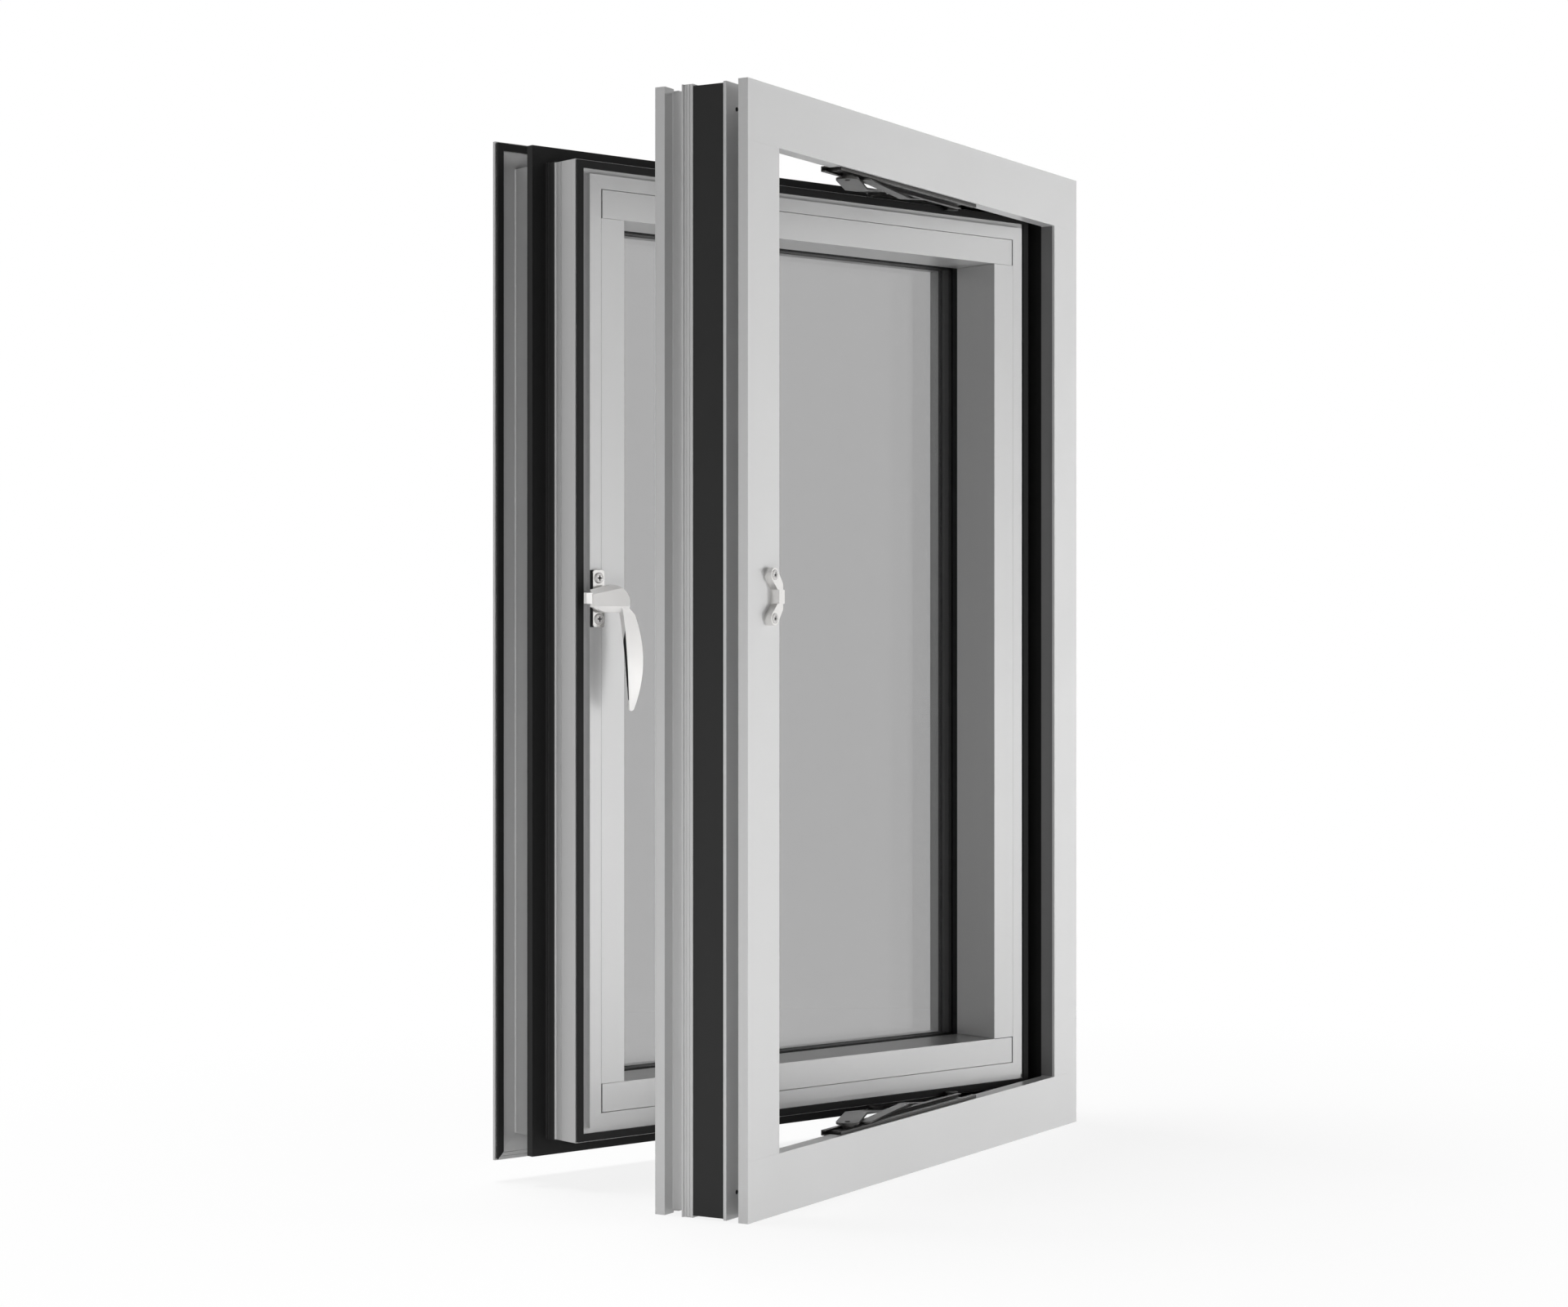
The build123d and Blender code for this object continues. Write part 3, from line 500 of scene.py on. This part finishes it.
def add_screws():
    """Screws of the handle's base and of the keeper."""
    for word, way in (("upper", 1), ("lower", -1)):
        place = on_sash(0, BASE_FRONT, way * BASE_SCREWS / 2)
        cross_screw("base_screw_" + word, BASE_SCREW_R, BASE_SCREW_H, place, INWARD)
    low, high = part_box("keeper")
    middle = (low.z + high.z) / 2
    lug_x = low.x + KEEPER_LUG_IN * MM
    face_y = high.y - KEEPER_T * MM
    for word, way in (("upper", 1), ("lower", -1)):
        place = Vector((lug_x, face_y, middle + way * KEEPER_SCREWS / 2 * MM))
        cross_screw("keeper_screw_" + word, KEEPER_SCREW_R, KEEPER_SCREW_H, place, INDOORS)


def add_corner_screws():
    """Small screws on the wall of the interior channel, near each corner."""
    low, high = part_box("frame_interior_head")
    wall_y = low.y + CHANNEL_WALL * MM
    for side, x, step in (("left", low.x, 1), ("right", high.x, -1)):
        for end, z, down in (("top", CAD_BOX[1].z, -1), ("bottom", CAD_BOX[0].z, 1)):
            place = Vector((x + step * CORNER_SCREW_IN * MM, wall_y, z + down * CORNER_SCREW_DOWN * MM))
            dome("corner_screw_%s_%s" % (side, end), CORNER_SCREW_R, CORNER_SCREW_H, place, INDOORS,
                 MATERIALS["painted_shade_and_dark_screws"])


def arc_at(points, z):
    """First coordinate, at a height, of the arc through three points given as (value, height)."""
    (ax, ay), (bx, by), (cx, cy) = points
    d = 2 * (ax * (by - cy) + bx * (cy - ay) + cx * (ay - by))
    a, b, c = ax * ax + ay * ay, bx * bx + by * by, cx * cx + cy * cy
    ux = (a * (by - cy) + b * (cy - ay) + c * (ay - by)) / d
    uy = (a * (cx - bx) + b * (ax - cx) + c * (bx - ax)) / d
    reach = sqrt((ax - ux) ** 2 + (ay - uy) ** 2 - (z - uy) ** 2)
    return ux + reach if bx > ux else ux - reach


def add_lever_hollow_shade():
    """Dark sheet along the lock side of the lever, pointed at its top and narrowing to its foot: painted shade in
    the lever's hollow back.
    """
    bm = bmesh.new()
    rows = []
    for i in range(SHADE_SHEET_STEPS + 1):
        z = SHADE_SHEET_TOP + (SHADE_SHEET_END - SHADE_SHEET_TOP) * i / SHADE_SHEET_STEPS
        left = LEVER_LEFT[0][0] if z > LEVER_LEFT[0][1] else arc_at(LEVER_LEFT, z)
        front = arc_at(LEVER_FRONT, z) - SHADE_SHEET_FRONT_IN
        back = arc_at(LEVER_BACK, z) + SHADE_SHEET_BACK_IN
        open_share = min(1.0, max(SHADE_SHEET_POINT, (SHADE_SHEET_TOP - z) / (SHADE_SHEET_TOP - SHADE_SHEET_SHOULDER)))
        back = front + (back - front) * open_share
        back = min(back, front - SHADE_SHEET_LEAST)
        corners = ((-SHADE_SHEET_PROUD, front), (-SHADE_SHEET_PROUD, back), (SHADE_SHEET_SUNK, back), (SHADE_SHEET_SUNK, front))
        rows.append([on_sash(left + depth, out, z) for depth, out in corners])
    rings = [[bm.verts.new(point) for point in row] for row in rows]
    for low, high in zip(rings, rings[1:]):
        bridge(bm, low, high)
    bm.faces.new(rings[0])
    bm.faces.new(rings[-1])
    # Dark sheet that paints the shade in the lever's hollow back.
    add_piece("lever_hollow_shade", bm, MATERIALS["painted_shade_and_dark_screws"], TURNING)


def strip(name, corners, low_z, high_z, material):
    """Upright strip with the given plan outline, in metres."""
    bm = bmesh.new()
    rings = [[bm.verts.new((point.x, point.y, z)) for point in corners] for z in (low_z, high_z)]
    bridge(bm, *rings)
    bm.faces.new(rings[0])
    bm.faces.new(rings[1])
    add_piece(name, bm, material, FIXED)


def add_strips():
    """Fine beads in the lock-side recesses and by the ring, and the ribs of the sash's thermal break, whose
    lighter tone is a painted sheen.
    """
    for name, corners, trim, material, slot in SASH_STRIPS:
        plan = [on_sash(x, h, 0) for x, h in corners]
        strip(name, plan, (BODY_LOW + trim) * MM, (BODY_HIGH - trim) * MM, MATERIALS[material])
    edge_x = CAD_BOX[0].x
    face_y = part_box("frame_interior_head")[0].y
    plan = [Vector((edge_x + x * MM, face_y + y * MM, 0)) for x, y in FRAME_BEAD]
    low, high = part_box("frame_exterior_left_jamb")
    strip("frame_recess_bead", plan, low.z + RECESS_TRIM * MM, high.z - RECESS_TRIM * MM,
          MATERIALS["upright"])


def slab(name, low, high, material):
    """Box between two corners, in millimetres from the frame's outer edge, face and foot."""
    edge_x = CAD_BOX[0].x
    face_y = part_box("frame_interior_head")[0].y
    bm = bmesh.new()
    bmesh.ops.create_cube(bm, size=1.0)
    size = [(b - a) * MM for a, b in zip(low, high)]
    middle = [(a + b) / 2 * MM for a, b in zip(low, high)]
    at = Vector((edge_x + middle[0], face_y + middle[1], CAD_BOX[0].z + middle[2]))
    bm.transform(Matrix.Translation(at) @ Matrix.Diagonal((*size, 1)))
    add_piece(name, bm, material, FIXED)


def add_reveals():
    """Liners behind the lips of the head and sill, beside the stays' tracks, nearly flush with the lips."""
    tall = (CAD_BOX[1].z - CAD_BOX[0].z) / MM
    ends = (("head", tall - LINER_EDGE, tall - LINER_BACK), ("sill", LINER_BACK, LINER_EDGE))
    for end, low_z, high_z in ends:
        for side, start, stop in LINER_RUNS:
            slab("%s_liner_%s" % (end, side), (start, LINER_FRONT, low_z), (stop, LINER_END, high_z),
                 MATERIALS["level"])


def add_joint_shadow_strip():
    """Painted shadow in the joint between the bottom bead and the foot of the hinge-side bead, as a dark strip."""
    bm = bmesh.new()
    rings = [[bm.verts.new(on_sash(x, h, z)) for x, h in JOINT_PLAN] for z in JOINT_HEIGHTS]
    bridge(bm, *rings)
    bm.faces.new(rings[0])
    bm.faces.new(rings[1])
    # Dark strip that paints the joint's shadow.
    add_piece("bead_joint_shadow", bm, MATERIALS["painted_shade_and_dark_screws"], FIXED)


def add_rivets():
    """Rivet heads on the long arms of both stays, at the slider, facing the opening."""
    for end, side in (("top", -1), ("bottom", 1)):
        low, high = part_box(end + "_stay_slider")
        face_z = (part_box(end + "_stay_long_arm")[0].z if side < 0 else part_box(end + "_stay_long_arm")[1].z)
        place = Vector(((low.x + high.x) / 2, (low.y + high.y) / 2, face_z))
        dome(end + "_stay_rivet", STAY_RIVET_R, STAY_RIVET_H, place, UP * side, MATERIALS["stay_steel"])


# Stage, light and camera. The floor is given in metres, and fades to pure white between two distances.
FLOOR_HALF = 20
FLOOR_DROP = 0.0005
FLOOR_TONE = (0.9, 0.9, 0.9)
FLOOR_ROUGH = 0.9
FLOOR_NEAR = 0.5
FLOOR_FAR = 1.6
FLOOR_WHITE = 0.86

# Surround: its light at the horizon, and the heights on the unit sphere between which it darkens to the eye
HORIZON_LIGHT = 0.13
CEILING_LOW = 0.2
CEILING_HIGH = 0.8
CEILING_TONE = 0.35

# Lamps: name, place, target, size in metres and power in watts
LAMPS = (
    ("key", (1.4, -3.6, 0.25), (0, 0.1, 0.6), 2.0, 91),
    ("low_front", (0.6, -1.9, 0.1), (0.0, 0.0, 0.1), 0.7, 30),
    ("top", (-0.2, 1.3, 4.5), (-0.2, 0.2, 0.0), 2.0, 200),
    ("low_fill", (-1.4, -0.4, 0.12), (-0.4, 0.08, 0.1), 0.5, 6),
)


def seen_by_eye(tree):
    """One for rays to the eye, off metal and through glass, and nothing for light."""
    path = tree.nodes.new("ShaderNodeLightPath")
    first = tree.nodes.new("ShaderNodeMath")
    second = tree.nodes.new("ShaderNodeMath")
    first.operation = "MAXIMUM"
    second.operation = "MAXIMUM"
    tree.links.new(path.outputs["Is Camera Ray"], first.inputs[0])
    tree.links.new(path.outputs["Is Glossy Ray"], first.inputs[1])
    tree.links.new(first.outputs[0], second.inputs[0])
    tree.links.new(path.outputs["Is Transmission Ray"], second.inputs[1])
    return second.outputs[0]


def add_floor():
    """Plain pale floor under the frame: white to the eye, with the object's soft shadow."""
    bm = bmesh.new()
    bmesh.ops.create_grid(bm, x_segments=1, y_segments=1, size=FLOOR_HALF)
    mesh = bpy.data.meshes.new("floor")
    bm.to_mesh(mesh)
    bm.free()
    floor = bpy.data.objects.new("floor", mesh)
    floor.location = (0, 0, CAD_BOX[0].z - FLOOR_DROP)
    bpy.context.scene.collection.objects.link(floor)
    material, tree, shader = new_material("pale_floor")
    shader.inputs["Base Color"].default_value = (*FLOOR_TONE, 1)
    shader.inputs["Roughness"].default_value = FLOOR_ROUGH
    white = tree.nodes.new("ShaderNodeEmission")
    mix = tree.nodes.new("ShaderNodeMixShader")
    coords = tree.nodes.new("ShaderNodeTexCoord")
    reach = tree.nodes.new("ShaderNodeVectorMath")
    reach.operation = "LENGTH"
    fade = tree.nodes.new("ShaderNodeMapRange")
    fade.interpolation_type = "SMOOTHSTEP"
    fade.inputs["From Min"].default_value = FLOOR_NEAR
    fade.inputs["From Max"].default_value = FLOOR_FAR
    fade.inputs["To Min"].default_value = FLOOR_WHITE
    fade.inputs["To Max"].default_value = 1.0
    share = tree.nodes.new("ShaderNodeMath")
    share.operation = "MULTIPLY"
    tree.links.new(coords.outputs["Object"], reach.inputs[0])
    tree.links.new(reach.outputs["Value"], fade.inputs["Value"])
    tree.links.new(fade.outputs["Result"], share.inputs[0])
    tree.links.new(seen_by_eye(tree), share.inputs[1])
    tree.links.new(share.outputs[0], mix.inputs["Fac"])
    tree.links.new(shader.outputs["BSDF"], mix.inputs[1])
    tree.links.new(white.outputs["Emission"], mix.inputs[2])
    tree.links.new(mix.outputs[0], tree.nodes["Material Output"].inputs["Surface"])
    floor.data.materials.append(material)


def add_world():
    """White surround to the eye, in metal and through glass, darker overhead and much softer as a light."""
    world = bpy.data.worlds.new("studio")
    bpy.context.scene.world = world
    world.use_nodes = True
    tree = world.node_tree
    tree.nodes.clear()
    out = tree.nodes.new("ShaderNodeOutputWorld")
    seen = tree.nodes.new("ShaderNodeBackground")
    light = tree.nodes.new("ShaderNodeBackground")
    mix = tree.nodes.new("ShaderNodeMixShader")
    seen.inputs["Color"].default_value = (1, 1, 1, 1)
    light.inputs["Color"].default_value = (1, 1, 1, 1)
    coords = tree.nodes.new("ShaderNodeTexCoord")
    height = tree.nodes.new("ShaderNodeSeparateXYZ")
    fade = tree.nodes.new("ShaderNodeMapRange")
    fade.inputs["To Min"].default_value = HORIZON_LIGHT
    fade.inputs["To Max"].default_value = 0.0
    ceiling = tree.nodes.new("ShaderNodeMapRange")
    ceiling.interpolation_type = "SMOOTHSTEP"
    ceiling.inputs["From Min"].default_value = CEILING_LOW
    ceiling.inputs["From Max"].default_value = CEILING_HIGH
    ceiling.inputs["To Min"].default_value = 1.0
    ceiling.inputs["To Max"].default_value = CEILING_TONE
    tree.links.new(coords.outputs["Generated"], height.inputs[0])
    tree.links.new(height.outputs["Z"], fade.inputs["Value"])
    tree.links.new(height.outputs["Z"], ceiling.inputs["Value"])
    tree.links.new(fade.outputs["Result"], light.inputs["Strength"])
    tree.links.new(ceiling.outputs["Result"], seen.inputs["Strength"])
    tree.links.new(seen_by_eye(tree), mix.inputs["Fac"])
    tree.links.new(light.outputs[0], mix.inputs[1])
    tree.links.new(seen.outputs[0], mix.inputs[2])
    tree.links.new(mix.outputs[0], out.inputs["Surface"])


def add_softbox(name, place, target, size, power):
    """Square area lamp aimed at a point, which doesn't show in metal or glass."""
    data = bpy.data.lights.new(name, "AREA")
    data.size = size
    data.energy = power
    lamp = bpy.data.objects.new(name, data)
    lamp.location = place
    lamp.rotation_euler = (Vector(target) - Vector(place)).to_track_quat("-Z", "Y").to_euler()
    lamp.visible_camera = False
    lamp.visible_glossy = False
    lamp.visible_transmission = False
    bpy.context.scene.collection.objects.link(lamp)


def add_camera():
    """Level camera with the photograph's focal length, place and direction."""
    data = bpy.data.cameras.new("camera")
    data.sensor_fit = "HORIZONTAL"
    data.sensor_width = SENSOR
    data.lens = FOCAL_PX / IMAGE_W * SENSOR
    data.clip_end = CLIP_END
    camera = bpy.data.objects.new("camera", data)
    camera.location = CAMERA_AT
    camera.rotation_euler = (pi / 2, 0, CAMERA_TURN)
    bpy.context.scene.collection.objects.link(camera)
    bpy.context.scene.camera = camera


def add_stage():
    """Floor, surround, lamps and camera."""
    add_floor()
    add_world()
    for lamp in LAMPS:
        add_softbox(*lamp)
    add_camera()
    bpy.context.scene.view_settings.view_transform = "Standard"


dress_nodes()
add_screws()
add_corner_screws()
add_lever_hollow_shade()
add_strips()
add_reveals()
add_joint_shadow_strip()
add_rivets()
add_stage()
